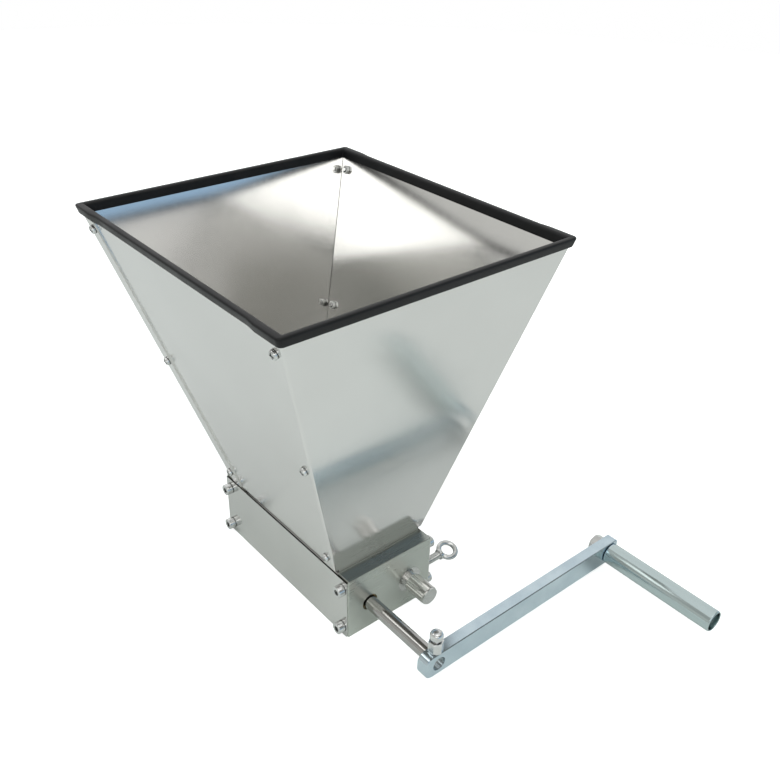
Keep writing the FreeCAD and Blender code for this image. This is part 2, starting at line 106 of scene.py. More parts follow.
# Mesh steps and tolerances
round_sides = 36
wire_sides = 20
ring_steps = 48
arc_steps = 5
corner_steps = 6
clamp_head_steps = 14
weld_distance = 1e-6
sharp_angle = math.radians(32)

# Directions of the crank
crank_rest_angle = math.radians(-0.5)
crank_up = Matrix.Rotation(crank_rest_angle, 3, "X") @ Vector((0, 0, 1))
shaft_direction = Vector((1, 0, 0))

# Threads and keys, with the depth as a share of the pitch and the lead-in as a share of the depth
thread_depth = 0.55
thread_lead_in = 0.4
thread_steps_per_turn = 4
hopper_bolt_pitch = 0.5 * mm
skirt_screw_pitch = 0.7 * mm
cover_screw_pitch = 0.8 * mm
cover_screw_key = 4.0 * mm
handle_bolt_pitch = 1.25 * mm
handle_bolt_key = 6.0 * mm
under_head = 0.05 * mm
socket_chamfer = 0.15 * mm

# Clamp screw and handle, with sizes shared with the CAD
clamp_head_height = 7.7 * mm
clamp_shank_radius = 3.0 * mm
clamp_pitch = 1.0 * mm
clamp_tip = 0.3 * mm
grip_bore_radius = 4.08 * mm
grip_recess_radius = 6.8 * mm
grip_recess_depth = 13.3 * mm
grip_edge = 0.9 * mm
grip_lip = 0.5 * mm

# Lock bolts, with sizes shared with the CAD, and how far each eye is turned about its shank
eye_bore = 9.0 * mm
eye_wire = 3.8 * mm
lock_collar_radius = 4.0 * mm
lock_collar_length = 2.5 * mm
lock_collar_round = 0.6 * mm
lock_shank_radius = 3.0 * mm
lock_pitch = 1.0 * mm
lock_tip = 0.4 * mm
lock_undercut = 0.2 * mm
lock_twists = {"drive_side": math.radians(18), "far_side": math.radians(35)}

# Hopper rim, where the leaning sheet is cut level, and its trim, with sizes shared with the CAD
end_lean = math.radians(12.33)
side_lean = math.radians(17.14)
rim_thickness = 1.05 * mm
trim_cover = 2.0 * mm
trim_wall = 1.8 * mm
trim_corner = 3.0 * mm
trim_least_corner = 0.4 * mm
trim_bulge_reach = 19.0 * mm
trim_ramp = 8.0 * mm
trim_lip = 0.7 * mm
trim_play = 0.05 * mm
trim_shoulder = 0.1 * mm
trim_roundness = 0.7
trim_side_steps = 10
trim_crown_steps = 14
trim_lip_steps = 4


def add_camera():
    """Camera at the photograph's place, angle and field of view."""
    lens = bpy.data.cameras.new("camera")
    lens.sensor_width = sensor_width
    lens.lens = focal_pixels / picture_side * sensor_width
    lens.clip_start = camera_near
    camera = bpy.data.objects.new("camera", lens)
    bpy.context.scene.collection.objects.link(camera)
    compass = Matrix.Rotation(camera_azimuth, 4, "Z")
    tilt = Matrix.Rotation(math.pi / 2 - camera_elevation, 4, "X")
    roll = Matrix.Rotation(camera_roll, 4, "Z")
    camera.matrix_world = Matrix.Translation(camera_place) @ compass @ tilt @ roll
    bpy.context.scene.camera = camera


# Node helpers
def add_node(tree, kind, **settings):
    """New shader node with its properties set."""
    made = tree.nodes.new(kind)
    for name, value in settings.items():
        setattr(made, name, value)
    return made


def seen_directly(tree):
    """Socket that is 1 for rays that show the background: from the camera, a mirror or glass."""
    path = add_node(tree, "ShaderNodeLightPath")
    first = add_node(tree, "ShaderNodeMath", operation="MAXIMUM")
    both = add_node(tree, "ShaderNodeMath", operation="MAXIMUM")
    tree.links.new(path.outputs["Is Camera Ray"], first.inputs[0])
    tree.links.new(path.outputs["Is Glossy Ray"], first.inputs[1])
    tree.links.new(first.outputs[0], both.inputs[0])
    tree.links.new(path.outputs["Is Transmission Ray"], both.inputs[1])
    return both.outputs[0]


# Stage and light
def add_dome_side(tree, azimuth, elevation, colour):
    """Light from one side of the dome, brightest in its middle."""
    compass = math.radians(azimuth)
    rise = math.radians(elevation)
    flat = math.cos(rise)
    direction = add_node(tree, "ShaderNodeTexCoord")
    towards = add_node(tree, "ShaderNodeVectorMath", operation="DOT_PRODUCT")
    towards.inputs[1].default_value = (flat * math.cos(compass), flat * math.sin(compass), math.sin(rise))
    tree.links.new(direction.outputs["Generated"], towards.inputs[0])
    facing = add_node(tree, "ShaderNodeMath", operation="MAXIMUM")
    facing.inputs[1].default_value = 0.0
    tree.links.new(towards.outputs["Value"], facing.inputs[0])
    fall = add_node(tree, "ShaderNodeMath", operation="POWER")
    fall.inputs[1].default_value = dome_power
    tree.links.new(facing.outputs[0], fall.inputs[0])
    side = add_node(tree, "ShaderNodeBackground")
    side.inputs["Color"].default_value = (*colour, 1)
    tree.links.new(fall.outputs[0], side.inputs["Strength"])
    return side.outputs[0]


def add_world():
    """Light from a dome with two bright sides, and a white background where it is seen directly."""
    world = bpy.data.worlds.new("studio")
    bpy.context.scene.world = world
    world.use_nodes = True
    tree = world.node_tree
    tree.nodes.clear()
    ambient = add_node(tree, "ShaderNodeAddShader")
    for index, side in enumerate(dome_sides):
        tree.links.new(add_dome_side(tree, *side), ambient.inputs[index])
    white = add_node(tree, "ShaderNodeBackground")
    white.inputs["Strength"].default_value = background_strength
    white.inputs["Color"].default_value = (1, 1, 1, 1)
    mix = add_node(tree, "ShaderNodeMixShader")
    out = add_node(tree, "ShaderNodeOutputWorld")
    tree.links.new(seen_directly(tree), mix.inputs[0])
    tree.links.new(ambient.outputs[0], mix.inputs[1])
    tree.links.new(white.outputs[0], mix.inputs[2])
    tree.links.new(mix.outputs[0], out.inputs["Surface"])


def bare_material(name):
    """Material without nodes, and its node tree."""
    material = bpy.data.materials.new(name)
    material.use_nodes = True
    material.node_tree.nodes.clear()
    return material, material.node_tree


def add_stage_mesh(name, points, faces, material):
    """Object of the studio, which isn't part of the mill."""
    mesh = bpy.data.meshes.new(name)
    mesh.from_pydata(points, [], faces)
    mesh.materials.append(material)
    made = bpy.data.objects.new(name, mesh)
    bpy.context.scene.collection.objects.link(made)
    return made


def add_floor():
    """Pale floor that keeps the object's shadow and meets the white background."""
    material, tree = bare_material("floor_paper")
    paper = add_node(tree, "ShaderNodeBsdfDiffuse")
    paper.inputs["Color"].default_value = (*floor_colour, 1)
    path = add_node(tree, "ShaderNodeLightPath")
    seen = add_node(tree, "ShaderNodeMath", operation="MULTIPLY")
    seen.inputs[1].default_value = floor_glow_seen
    tree.links.new(path.outputs["Is Camera Ray"], seen.inputs[0])
    mirrored = add_node(tree, "ShaderNodeMath", operation="MULTIPLY_ADD")
    mirrored.inputs[1].default_value = floor_glow_mirrored
    tree.links.new(path.outputs["Is Glossy Ray"], mirrored.inputs[0])
    tree.links.new(seen.outputs[0], mirrored.inputs[2])
    glow = add_node(tree, "ShaderNodeEmission")
    glow.inputs["Color"].default_value = (1, 1, 1, 1)
    tree.links.new(mirrored.outputs[0], glow.inputs["Strength"])
    both = add_node(tree, "ShaderNodeAddShader")
    out = add_node(tree, "ShaderNodeOutputMaterial")
    tree.links.new(paper.outputs[0], both.inputs[0])
    tree.links.new(glow.outputs[0], both.inputs[1])
    tree.links.new(both.outputs[0], out.inputs["Surface"])
    points = []
    for index in range(floor_sides):
        angle = 2 * math.pi * index / floor_sides
        points.append((floor_radius * math.cos(angle), floor_radius * math.sin(angle), 0.0))
    add_stage_mesh("floor", points, [tuple(range(floor_sides))], material)


def add_card(name, start, end, low, high, colour):
    """Curved card for metal to mirror, between two compass angles in degrees and two heights."""
    material, tree = bare_material(name)
    glow = add_node(tree, "ShaderNodeEmission")
    glow.inputs["Color"].default_value = (*colour, 1)
    out = add_node(tree, "ShaderNodeOutputMaterial")
    tree.links.new(glow.outputs[0], out.inputs["Surface"])
    points, faces = [], []
    for step in range(card_steps + 1):
        angle = math.radians(start + (end - start) * step / card_steps)
        for height in (low, high):
            points.append((card_radius * math.cos(angle), card_radius * math.sin(angle), height))
        if step > 0:
            last = 2 * step
            faces.append((last - 2, last, last + 1, last - 1))
    card = add_stage_mesh(name, points, faces, material)
    card.visible_camera = False
    card.visible_diffuse = False
    card.visible_shadow = False


def add_soft_light(name, place, target, width, height, radiance):
    """Rectangular soft light whose face has one radiance all over."""
    lamp = bpy.data.lights.new(name, "AREA")
    lamp.shape = "RECTANGLE"
    lamp.size = width
    lamp.size_y = height
    lamp.energy = radiance * math.pi * width * height
    light = bpy.data.objects.new(name, lamp)
    light.location = place
    light.rotation_euler = (Vector(target) - Vector(place)).to_track_quat("-Z", "Y").to_euler()
    light.visible_camera = False
    bpy.context.scene.collection.objects.link(light)


# Material helpers
def tree_and_shader(material):
    """Node tree and principled shader of a material."""
    return material.node_tree, material.node_tree.nodes["Principled BSDF"]


def new_material(name, metallic):
    """Material with a principled shader, its node tree and its shader."""
    material = bpy.data.materials.new(name)
    material.use_nodes = True
    tree, shader = tree_and_shader(material)
    shader.inputs["Metallic"].default_value = metallic
    return material, tree, shader


def texture(tree, scale, stretch=(1, 1, 1), detail=cloud_detail):
    """Noise over the object's own coordinates, stretched along its axes."""
    place = add_node(tree, "ShaderNodeTexCoord")
    mapping = add_node(tree, "ShaderNodeMapping")
    mapping.inputs["Scale"].default_value = stretch
    noise = add_node(tree, "ShaderNodeTexNoise")
    noise.inputs["Scale"].default_value = scale
    noise.inputs["Detail"].default_value = detail
    tree.links.new(place.outputs["Object"], mapping.inputs["Vector"])
    tree.links.new(mapping.outputs[0], noise.inputs["Vector"])
    return noise.outputs["Fac"]


def levels(tree, value, low, high, low_in=noise_low, high_in=noise_high):
    """Spread a value over a range; unless its own range is given, the value is a noise."""
    spread = add_node(tree, "ShaderNodeMapRange")
    spread.inputs["From Min"].default_value = low_in
    spread.inputs["From Max"].default_value = high_in
    spread.inputs["To Min"].default_value = low
    spread.inputs["To Max"].default_value = high
    tree.links.new(value, spread.inputs["Value"])
    return spread.outputs[0]


def add_up(tree, first, second):
    """Sum of two values."""
    total = add_node(tree, "ShaderNodeMath", operation="ADD")
    tree.links.new(first, total.inputs[0])
    tree.links.new(second, total.inputs[1])
    return total.outputs[0]


def two_colours(tree, share, first, second):
    """Colour that goes from the first to the second with a value."""
    mix = add_node(tree, "ShaderNodeMix", data_type="RGBA")
    mix.inputs["A"].default_value = (*first, 1)
    mix.inputs["B"].default_value = (*second, 1)
    tree.links.new(share, mix.inputs["Factor"])
    return mix.outputs["Result"]


def shaded(tree, colour, amount, shade):
    """Colour mixed towards another one by an amount."""
    mix = add_node(tree, "ShaderNodeMix", data_type="RGBA")
    mix.inputs["B"].default_value = (*shade, 1)
    tree.links.new(amount, mix.inputs["Factor"])
    tree.links.new(colour, mix.inputs["A"])
    return mix.outputs["Result"]


def bump(tree, height, distance, under=None):
    """Surface normal that follows a height, on top of another normal where one is given."""
    made = add_node(tree, "ShaderNodeBump")
    made.inputs["Distance"].default_value = distance
    tree.links.new(height, made.inputs["Height"])
    if under is not None:
        tree.links.new(under, made.inputs["Normal"])
    return made.outputs[0]


def cut_edges(tree):
    """Value that is 1 on the level top and bottom edges of a sheet or plate."""
    geometry = add_node(tree, "ShaderNodeNewGeometry")
    axes = add_node(tree, "ShaderNodeSeparateXYZ")
    tree.links.new(geometry.outputs["True Normal"], axes.inputs[0])
    steep = add_node(tree, "ShaderNodeMath", operation="ABSOLUTE")
    tree.links.new(axes.outputs["Z"], steep.inputs[0])
    level = add_node(tree, "ShaderNodeMath", operation="GREATER_THAN")
    level.inputs[1].default_value = level_normal
    tree.links.new(steep.outputs[0], level.inputs[0])
    return level.outputs[0]


def recess_shade(tree):
    """Painted shade: a value that is 1 deep in a narrow recess and 0 on an open face, from ambient
    occlusion.
    """
    shade = add_node(tree, "ShaderNodeAmbientOcclusion", samples=recess_samples)
    shade.inputs["Distance"].default_value = recess_reach
    return levels(tree, shade.outputs["AO"], 1.0, 0.0, recess_deep, recess_open)


def along_shaft(tree, compare, place):
    """Value that is 1 where the distance from the middle along X is greater or less than a place."""
    coordinates = add_node(tree, "ShaderNodeTexCoord")
    axes = add_node(tree, "ShaderNodeSeparateXYZ")
    tree.links.new(coordinates.outputs["Object"], axes.inputs[0])
    reach = add_node(tree, "ShaderNodeMath", operation="ABSOLUTE")
    tree.links.new(axes.outputs["X"], reach.inputs[0])
    share = add_node(tree, "ShaderNodeMath", operation=compare)
    share.inputs[1].default_value = place
    tree.links.new(reach.outputs[0], share.inputs[0])
    return share.outputs[0]


# Materials
def make_metal(name, light, dark, roughness, cloud_scale, grain_scale, grain_depth,
               grain_stretch=(1, 1, 1), wave_depth=0.0, shade=None):
    """Metal with clouded colour, grain in its gloss and relief, slow waves, and painted shade where
    masked.
    """
    material, tree, shader = new_material(name, 1.0)
    clouds = texture(tree, cloud_scale)
    grain = texture(tree, grain_scale, grain_stretch, grain_detail)
    colour = two_colours(tree, levels(tree, clouds, 0, 1), light, dark)
    if shade is not None:
        # painted shade: near black where the mask is 1, on cut edges or in narrow hollows
        colour = shaded(tree, colour, shade(tree), painted_shade_colour)
    tree.links.new(colour, shader.inputs["Base Color"])
    smoothest, roughest = roughness
    middle = (smoothest + roughest) / 2
    from_clouds = levels(tree, clouds, smoothest, middle)
    from_grain = levels(tree, grain, 0, roughest - middle)
    tree.links.new(add_up(tree, from_clouds, from_grain), shader.inputs["Roughness"])
    normal = bump(tree, grain, grain_depth)
    if wave_depth > 0:
        normal = bump(tree, texture(tree, wave_scale, detail=wave_detail), wave_depth, normal)
    tree.links.new(normal, shader.inputs["Normal"])
    return material


def make_rubber(name, light, dark, roughness, gloss, cloud_scale, grain_scale, grain_depth):
    """Rubber with a fine matt skin."""
    material, tree, shader = new_material(name, 0.0)
    clouds = texture(tree, cloud_scale)
    grain = texture(tree, grain_scale)
    colour = two_colours(tree, levels(tree, clouds, 0, 1), dark, light)
    tree.links.new(colour, shader.inputs["Base Color"])
    tree.links.new(levels(tree, clouds, *roughness), shader.inputs["Roughness"])
    tree.links.new(bump(tree, grain, grain_depth), shader.inputs["Normal"])
    shader.inputs["Specular IOR Level"].default_value = gloss
    return material


def brush_upright(material):
    """Grain that runs up and down a hopper sheet, so that what it mirrors is drawn out sideways."""
    tree, shader = tree_and_shader(material)
    sideways = add_node(tree, "ShaderNodeTangent", direction_type="RADIAL", axis="Z")
    shader.inputs["Anisotropic"].default_value = brushed_amount
    tree.links.new(sideways.outputs[0], shader.inputs["Tangent"])


def recolour(material, share, colour):
    """Other colour where a share is 1."""
    tree, shader = tree_and_shader(material)
    usual = shader.inputs["Base Color"].links[0].from_socket
    tree.links.new(shaded(tree, usual, share, colour), shader.inputs["Base Color"])


def shade_plate_edges(material):
    """Paint the sawn top and bottom of a plate darker than its faces: a duller finish and painted shade.
    """
    recolour(material, cut_edges(material.node_tree), plate_edge_shade_colour)


def dull_barrel(material):
    """Keep a roller's journals bright and make its fluted barrel duller."""
    tree, shader = tree_and_shader(material)
    barrel = along_shaft(tree, "LESS_THAN", barrel_end)
    recolour(material, barrel, barrel_colour)
    bright = shader.inputs["Roughness"].links[0].from_socket
    dull = levels(tree, barrel, 0.0, barrel_dullness, 0.0, 1.0)
    tree.links.new(add_up(tree, bright, dull), shader.inputs["Roughness"])


def shade_grip(material):
    """Paint the crank's handle greyer than its arm: painted shade for the darker things it mirrors."""
    recolour(material, along_shaft(material.node_tree, "GREATER_THAN", grip_start), grip_shade_colour)


# Looks by slot, and a lighter zinc for the hopper's nuts as painted highlight
metal_looks = {
    # hopper and cover sheets: painted shade near black on their level cut edges
    "hopper_steel": dict(light=(0.725, 0.722, 0.705), dark=(0.695, 0.692, 0.675), roughness=(0.12, 0.16),
                         cloud_scale=14.0, grain_scale=700.0, grain_depth=0.001 * mm,
                         grain_stretch=(1, 1, 0.02), wave_depth=0.3 * mm, shade=cut_edges),
    "cover_steel": dict(light=(0.66, 0.665, 0.645), dark=(0.61, 0.615, 0.595), roughness=(0.12, 0.19),
                        cloud_scale=18.0, grain_scale=900.0, grain_depth=0.002 * mm,
                        grain_stretch=(0.02, 1, 1), wave_depth=0.3 * mm, shade=cut_edges),
    "plate_aluminium": dict(light=(0.55, 0.575, 0.53), dark=(0.49, 0.515, 0.475), roughness=(0.26, 0.31),
                            cloud_scale=30.0, grain_scale=1200.0, grain_depth=0.001 * mm,
                            grain_stretch=(1, 0.03, 1)),
    # fasteners: painted shade in their narrow hollows
    "zinc_fasteners": dict(light=(0.70, 0.71, 0.70), dark=(0.56, 0.57, 0.56), roughness=(0.18, 0.28),
                           cloud_scale=180.0, grain_scale=900.0, grain_depth=0.002 * mm, shade=recess_shade),
    # lighter than the fastener zinc: painted highlight, on a satin roughness
    "satin_zinc_painted_highlight": dict(light=(0.88, 0.89, 0.87), dark=(0.76, 0.77, 0.75), roughness=(0.36, 0.46),
                       cloud_scale=180.0, grain_scale=900.0, grain_depth=0.002 * mm, shade=recess_shade),
    "zinc_crank": dict(light=(0.53, 0.625, 0.67), dark=(0.45, 0.545, 0.60), roughness=(0.12, 0.21),
                       cloud_scale=60.0, grain_scale=700.0, grain_depth=0.003 * mm,
                       grain_stretch=(0.06, 0.06, 1)),
    "roller_steel": dict(light=(0.42, 0.415, 0.40), dark=(0.36, 0.355, 0.345), roughness=(0.10, 0.18),
                         cloud_scale=80.0, grain_scale=1600.0, grain_depth=0.002 * mm,
                         grain_stretch=(0.02, 1, 1)),
    "bush_bronze": dict(light=(0.56, 0.40, 0.21), dark=(0.45, 0.31, 0.16), roughness=(0.28, 0.42),
                        cloud_scale=150.0, grain_scale=900.0, grain_depth=0.006 * mm),
    "adjuster_steel": dict(light=(0.66, 0.66, 0.64), dark=(0.57, 0.57, 0.55), roughness=(0.20, 0.32),
                           cloud_scale=90.0, grain_scale=1200.0, grain_depth=0.003 * mm,
                           grain_stretch=(0.05, 1, 1)),
    "lock_steel": dict(light=(0.60, 0.61, 0.60), dark=(0.50, 0.51, 0.50), roughness=(0.14, 0.26),
                       cloud_scale=110.0, grain_scale=900.0, grain_depth=0.003 * mm),
}
rubber_look = dict(light=(0.007, 0.0075, 0.008), dark=(0.003, 0.0033, 0.0036), roughness=(0.36, 0.48),
                   gloss=0.22, cloud_scale=60.0, grain_scale=2200.0, grain_depth=0.03 * mm)
materials = {name: make_metal(name, **look) for name, look in metal_looks.items()}
materials["rim_rubber"] = make_rubber("rim_rubber", **rubber_look)
brush_upright(materials["hopper_steel"])
shade_plate_edges(materials["plate_aluminium"])
dull_barrel(materials["roller_steel"])
shade_grip(materials["zinc_crank"])


# Mesh helpers
def add_piece(name, body, slot, parts, *nodes):
    """Object made of closed skins, riding on a body and standing for CAD nodes."""
    points, faces = [], []
    for part_points, part_faces in parts:
        start = len(points)
        points.extend(part_points)
        faces.extend([tuple(start + index for index in face) for face in part_faces])
    mesh = bpy.data.meshes.new(name)
    mesh.from_pydata(points, [], faces)
    work = bmesh.new()
    work.from_mesh(mesh)
    bmesh.ops.recalc_face_normals(work, faces=work.faces)
    work.to_mesh(mesh)
    work.free()
    mesh.shade_smooth()
    mesh.set_sharp_from_angle(angle=sharp_angle)
    mesh.materials.append(materials[slot])
    piece = bpy.data.objects.new(name, mesh)
    bpy.context.scene.collection.objects.link(piece)
    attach(piece, body)
    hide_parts(*nodes)
    return piece


def ring(radius, height, sides=round_sides):
    """Closed ring of points about Z; the radius is a number or follows the angle."""
    points = []
    for index in range(sides):
        angle = 2 * math.pi * index / sides
        reach = radius(angle) if callable(radius) else radius
        points.append(Vector((reach * math.cos(angle), reach * math.sin(angle), height)))
    return points


def skin(rings, looped=False):
    """Faces between neighbouring rings, with the two ends closed or joined to each other."""
    sides = len(rings[0])
    points = [point for one in rings for point in one]
    faces = []
    count = len(rings)
    for index in range(count if looped else count - 1):
        here = index * sides
        there = (index + 1) % count * sides
        for side in range(sides):
            after = (side + 1) % sides
            faces.append((here + side, here + after, there + after, there + side))
    if not looped:
        faces.append(tuple(range(sides - 1, -1, -1)))
        faces.append(tuple(range((count - 1) * sides, count * sides)))
    return points, faces


def arc(radius, height, reach, start, end, steps=arc_steps):
    """(radius, height) pairs round a corner's middle, from one angle to another in degrees."""
    pairs = []
    for step in range(steps + 1):
        angle = math.radians(start + (end - start) * step / steps)
        pairs.append((radius + reach * math.cos(angle), height + reach * math.sin(angle)))
    return pairs


def moved(part, matrix):
    """Skin moved by a matrix."""
    points, faces = part
    return [matrix @ point for point in points], faces


def along(direction, foot):
    """Matrix that carries +Z to a direction from a foot point."""
    turn = Vector((0, 0, 1)).rotation_difference(direction)
    return Matrix.Translation(foot) @ turn.to_matrix().to_4x4()


# Outlines about Z, as a radius that follows the angle
def hexagon(across_flats):
    """Radius of a hexagon at an angle."""
    def reach(angle):
        return across_flats / 2 / math.cos(angle % (math.pi / 3) - math.pi / 6)
    return reach


def cross(arm_length, arm_half_width):
    """Radius of a four-armed cross at an angle."""
    def reach(angle):
        turned = (angle + math.pi / 4) % (math.pi / 2) - math.pi / 4
        if turned == 0:
            return arm_length
        return min(arm_length / math.cos(turned), arm_half_width / abs(math.sin(turned)))
    return reach


def resized(outline, share=1.0, margin=0.0):
    """Radius that is a share of an outline's, and a margin."""
    def reach(angle):
        return share * outline(angle) + margin
    return reach


def thread(radius, pitch, low, high):
    """Rings of a screw thread from one height up to another."""
    depth = thread_depth * pitch
    steps = max(2, round((high - low) / pitch * thread_steps_per_turn))
    rings = []
    for step in range(steps + 1):
        height = low + (high - low) * step / steps
        fade = min(1.0, step / thread_steps_per_turn)
        crest = radius - thread_lead_in * depth * (1 - fade)

        def reach(angle, height=height, crest=crest):
            phase = (height / pitch - angle / (2 * math.pi)) % 1.0
            return crest - depth * (1 - abs(2 * phase - 1))
        rings.append(ring(reach, height))
    return rings


# Measures of the CAD fasteners
def loose_solids(node):
    """Corner places and (normal, area) of the faces of each loose solid in a CAD node."""
    work = bmesh.new()
    work.from_mesh(frame["nodes"][node].data)
    bmesh.ops.remove_doubles(work, verts=work.verts, dist=weld_distance)
    work.verts.index_update()
    seen = set()
    solids = []
    for first in work.verts:
        if first.index in seen:
            continue
        seen.add(first.index)
        queue = [first]
        points, faces = [], {}
        while queue:
            vertex = queue.pop()
            points.append(vertex.co.copy())
            for face in vertex.link_faces:
                faces[face.index] = (face.normal.copy(), face.calc_area())
            for edge in vertex.link_edges:
                other = edge.other_vert(vertex)
                if other.index not in seen:
                    seen.add(other.index)
                    queue.append(other)
        solids.append((points, list(faces.values())))
    work.free()
    return solids


def measure(points, faces, axis=None):
    """Axis, middle, and the (radius, height) of each corner of a round or six-sided fastener."""
    same_way = 0.999

    def flat_area(direction):
        return sum(area for normal, area in faces if abs(normal.dot(direction)) > same_way)

    if axis is None:
        axis = max((normal for normal, area in faces), key=flat_area).normalized()
    across = [point - axis * point.dot(axis) for point in points]
    lowest = Vector([min(spot[i] for spot in across) for i in range(3)])
    highest = Vector([max(spot[i] for spot in across) for i in range(3)])
    middle = (lowest + highest) / 2
    spans = []
    for point in points:
        height = (point - middle).dot(axis)
        spans.append(((point - middle - axis * height).length, height))
    return axis, middle, spans


def measure_screw(points, faces, axis=None):
    """Matrix from a screw's own axes, seat at z = 0 and head up, with its main sizes."""
    axis, middle, spans = measure(points, faces, axis)
    widest = max(radius for radius, height in spans)
    near_rim = 0.99 * widest
    rim = [height for radius, height in spans if radius > near_rim]
    if sum(rim) < 0:
        axis = -axis
        spans = [(radius, -height) for radius, height in spans]
        rim = [-height for height in rim]
    seat = min(rim)
    tip = min(height for radius, height in spans)
    top = max(height for radius, height in spans)
    near_tip = tip + 0.1 * mm
    shank = max(radius for radius, height in spans if height < near_tip)
    return along(axis, middle + axis * seat), widest, top - seat, shank, seat - tip


def measure_nut(points, faces, axis=None):
    """Matrix from a nut's own axes with its lower face at z = 0, with its main sizes."""
    axis, middle, spans = measure(points, faces, axis)
    widest = max(radius for radius, height in spans)
    low = min(height for radius, height in spans)
    high = max(height for radius, height in spans)
    bore = min(radius for radius, height in spans)
    return along(axis, middle + axis * low), widest * math.sqrt(3), high - low, bore


def remade(node, measure_one, make_one, axis=None):
    """Skins in the places of a CAD node's solids, each made from its solid's own sizes."""
    skins = []
    for points, faces in loose_solids(node):
        matrix, *sizes = measure_one(points, faces, axis)
        skins.append(moved(make_one(*sizes), matrix))
    return skins


# Fasteners, seated at z = 0
def pan_screw(head_radius, head_height, shank_radius, length, pitch):
    """Domed screw with a cross recess and a threaded shank."""
    tip_radius = 0.2 * shank_radius
    seat_radius = 0.94 * head_radius
    seat_edge = 0.08 * head_height
    wall = 0.30 * head_height
    dome = 0.62 * head_height
    dome_radius = 0.30 * head_radius
    recess = cross(0.74 * head_radius, 0.21 * head_radius)
    recess_top = 0.95 * head_height
    recess_floor = 0.45 * head_height
    recess_point = 0.30 * head_height
    rings = [ring(tip_radius, -length)]
    rings += thread(shank_radius, pitch, -length, -under_head)
    rings.append(ring(seat_radius, 0.0))
    rings.append(ring(head_radius, seat_edge))
    rings.append(ring(head_radius, wall))
    for step in range(1, arc_steps + 1):
        angle = math.pi / 2 * step / arc_steps
        inset = dome_radius * (1 - math.cos(angle))
        rings.append(ring(head_radius - inset, wall + dome * math.sin(angle)))
    rings.append(ring(recess, recess_top))
    rings.append(ring(resized(recess, share=0.82), recess_floor))
    rings.append(ring(resized(recess, share=0.12), recess_point))
    return skin(rings)


def cap_screw(head_radius, head_height, shank_radius, length, pitch, key):
    """Socket-head screw with a rounded top edge and a threaded shank."""
    tip_radius = 0.2 * shank_radius
    seat_radius = 0.96 * head_radius
    seat_edge = 0.05 * head_height
    top_edge = 0.12 * head_radius
    rounding = (0.0, 0.5, 0.87, 1.0)
    socket = hexagon(key)
    socket_floor = 0.5 * head_height
    socket_point = 0.42 * head_height
    point_radius = 0.1 * key
    rings = [ring(tip_radius, -length)]
    rings += thread(shank_radius, pitch, -length, -under_head)
    rings.append(ring(seat_radius, 0.0))
    rings.append(ring(head_radius, seat_edge))
    for share in rounding:
        inset = top_edge * (1 - math.sqrt(1 - share ** 2))
        rings.append(ring(head_radius - inset, head_height - top_edge * (1 - share)))
    rings.append(ring(resized(socket, margin=socket_chamfer), head_height))
    rings.append(ring(socket, head_height - socket_chamfer))
    rings.append(ring(socket, socket_floor))
    rings.append(ring(point_radius, socket_point))
    return skin(rings)


def hexagon_nut(across_flats, height, bore):
    """Nut with both faces chamfered to a circle and a countersunk bore."""
    flats = hexagon(across_flats)
    face_radius = 0.48 * across_flats
    sink = 0.06 * across_flats
    drop = math.tan(math.radians(30))

    def side(level, sign):
        points = ring(flats, 0.0)
        for point in points:
            point.z = level - sign * max(0.0, point.length - face_radius) * drop
        return points

    lower = [ring(bore, sink), ring(bore + sink, 0.0), ring(face_radius, 0.0), side(0.0, -1)]
    upper = [side(height, 1), ring(face_radius, height), ring(bore + sink, height)]
    upper.append(ring(bore, height - sink))
    return skin(lower + upper, looped=True)


# Pieces
def add_screws():
    """Screws of the hopper, the covers and the handle."""
    hopper_bolt = partial(pan_screw, pitch=hopper_bolt_pitch)
    skirt_screw = partial(pan_screw, pitch=skirt_screw_pitch)
    cover_screw = partial(cap_screw, pitch=cover_screw_pitch, key=cover_screw_key)
    handle_bolt = partial(cap_screw, pitch=handle_bolt_pitch, key=handle_bolt_key)
    for node, body, make_one, axis in (("hopper_bolts", "mill_body", hopper_bolt, None),
                                       ("hopper_skirt_screws", "mill_body", skirt_screw, None),
                                       ("cover_screws", "mill_body", cover_screw, None),
                                       ("handle_bolt", "drive_train", handle_bolt, shaft_direction)):
        screws = remade(node, measure_screw, make_one, axis)
        add_piece(node + "_detailed", body, "zinc_fasteners", screws, node)


def add_nuts():
    """Nuts of the hopper, crank clamp and handle; the hopper's are satin and painted lighter as
    highlight.
    """
    for node, body, axis in (("hopper_nuts", "mill_body", None),
                             ("crank_lock_nut", "drive_train", crank_up),
                             ("handle_nut", "drive_train", shaft_direction)):
        nuts = remade(node, measure_nut, hexagon_nut, axis)
        made = add_piece(node + "_detailed", body, "zinc_fasteners", nuts, node)
        if node == "hopper_nuts":
            # painted highlight: the hopper's nuts take the lighter satin zinc
            made.data.materials[0] = materials["satin_zinc_painted_highlight"]


def add_clamp_screw():
    """Clamp screw with a turned, rounded head."""
    low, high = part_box("crank_clamp_screw")
    length = high.z - low.z
    tip_radius = 0.7 * clamp_shank_radius
    head_radius = (high.x - low.x) / 2
    half_height = clamp_head_height / 2
    lowest = math.radians(-62)
    highest = math.radians(86)
    side_fullness = 0.75
    end_fullness = 0.8
    rings = [ring(tip_radius, 0.0)]
    rings += thread(clamp_shank_radius, clamp_pitch, clamp_tip, length - clamp_head_height)
    for step in range(clamp_head_steps + 1):
        angle = lowest + (highest - lowest) * step / clamp_head_steps
        reach = head_radius * math.cos(angle) ** side_fullness
        rise = half_height * math.copysign(abs(math.sin(angle)) ** end_fullness, angle)
        rings.append(ring(reach, length - half_height + rise))
    foot = (low + high) / 2 - crank_up * length / 2
    screw = moved(skin(rings), along(crank_up, foot))
    add_piece("crank_clamp_screw_detailed", "clamp_screw", "zinc_fasteners", [screw], "crank_clamp_screw")


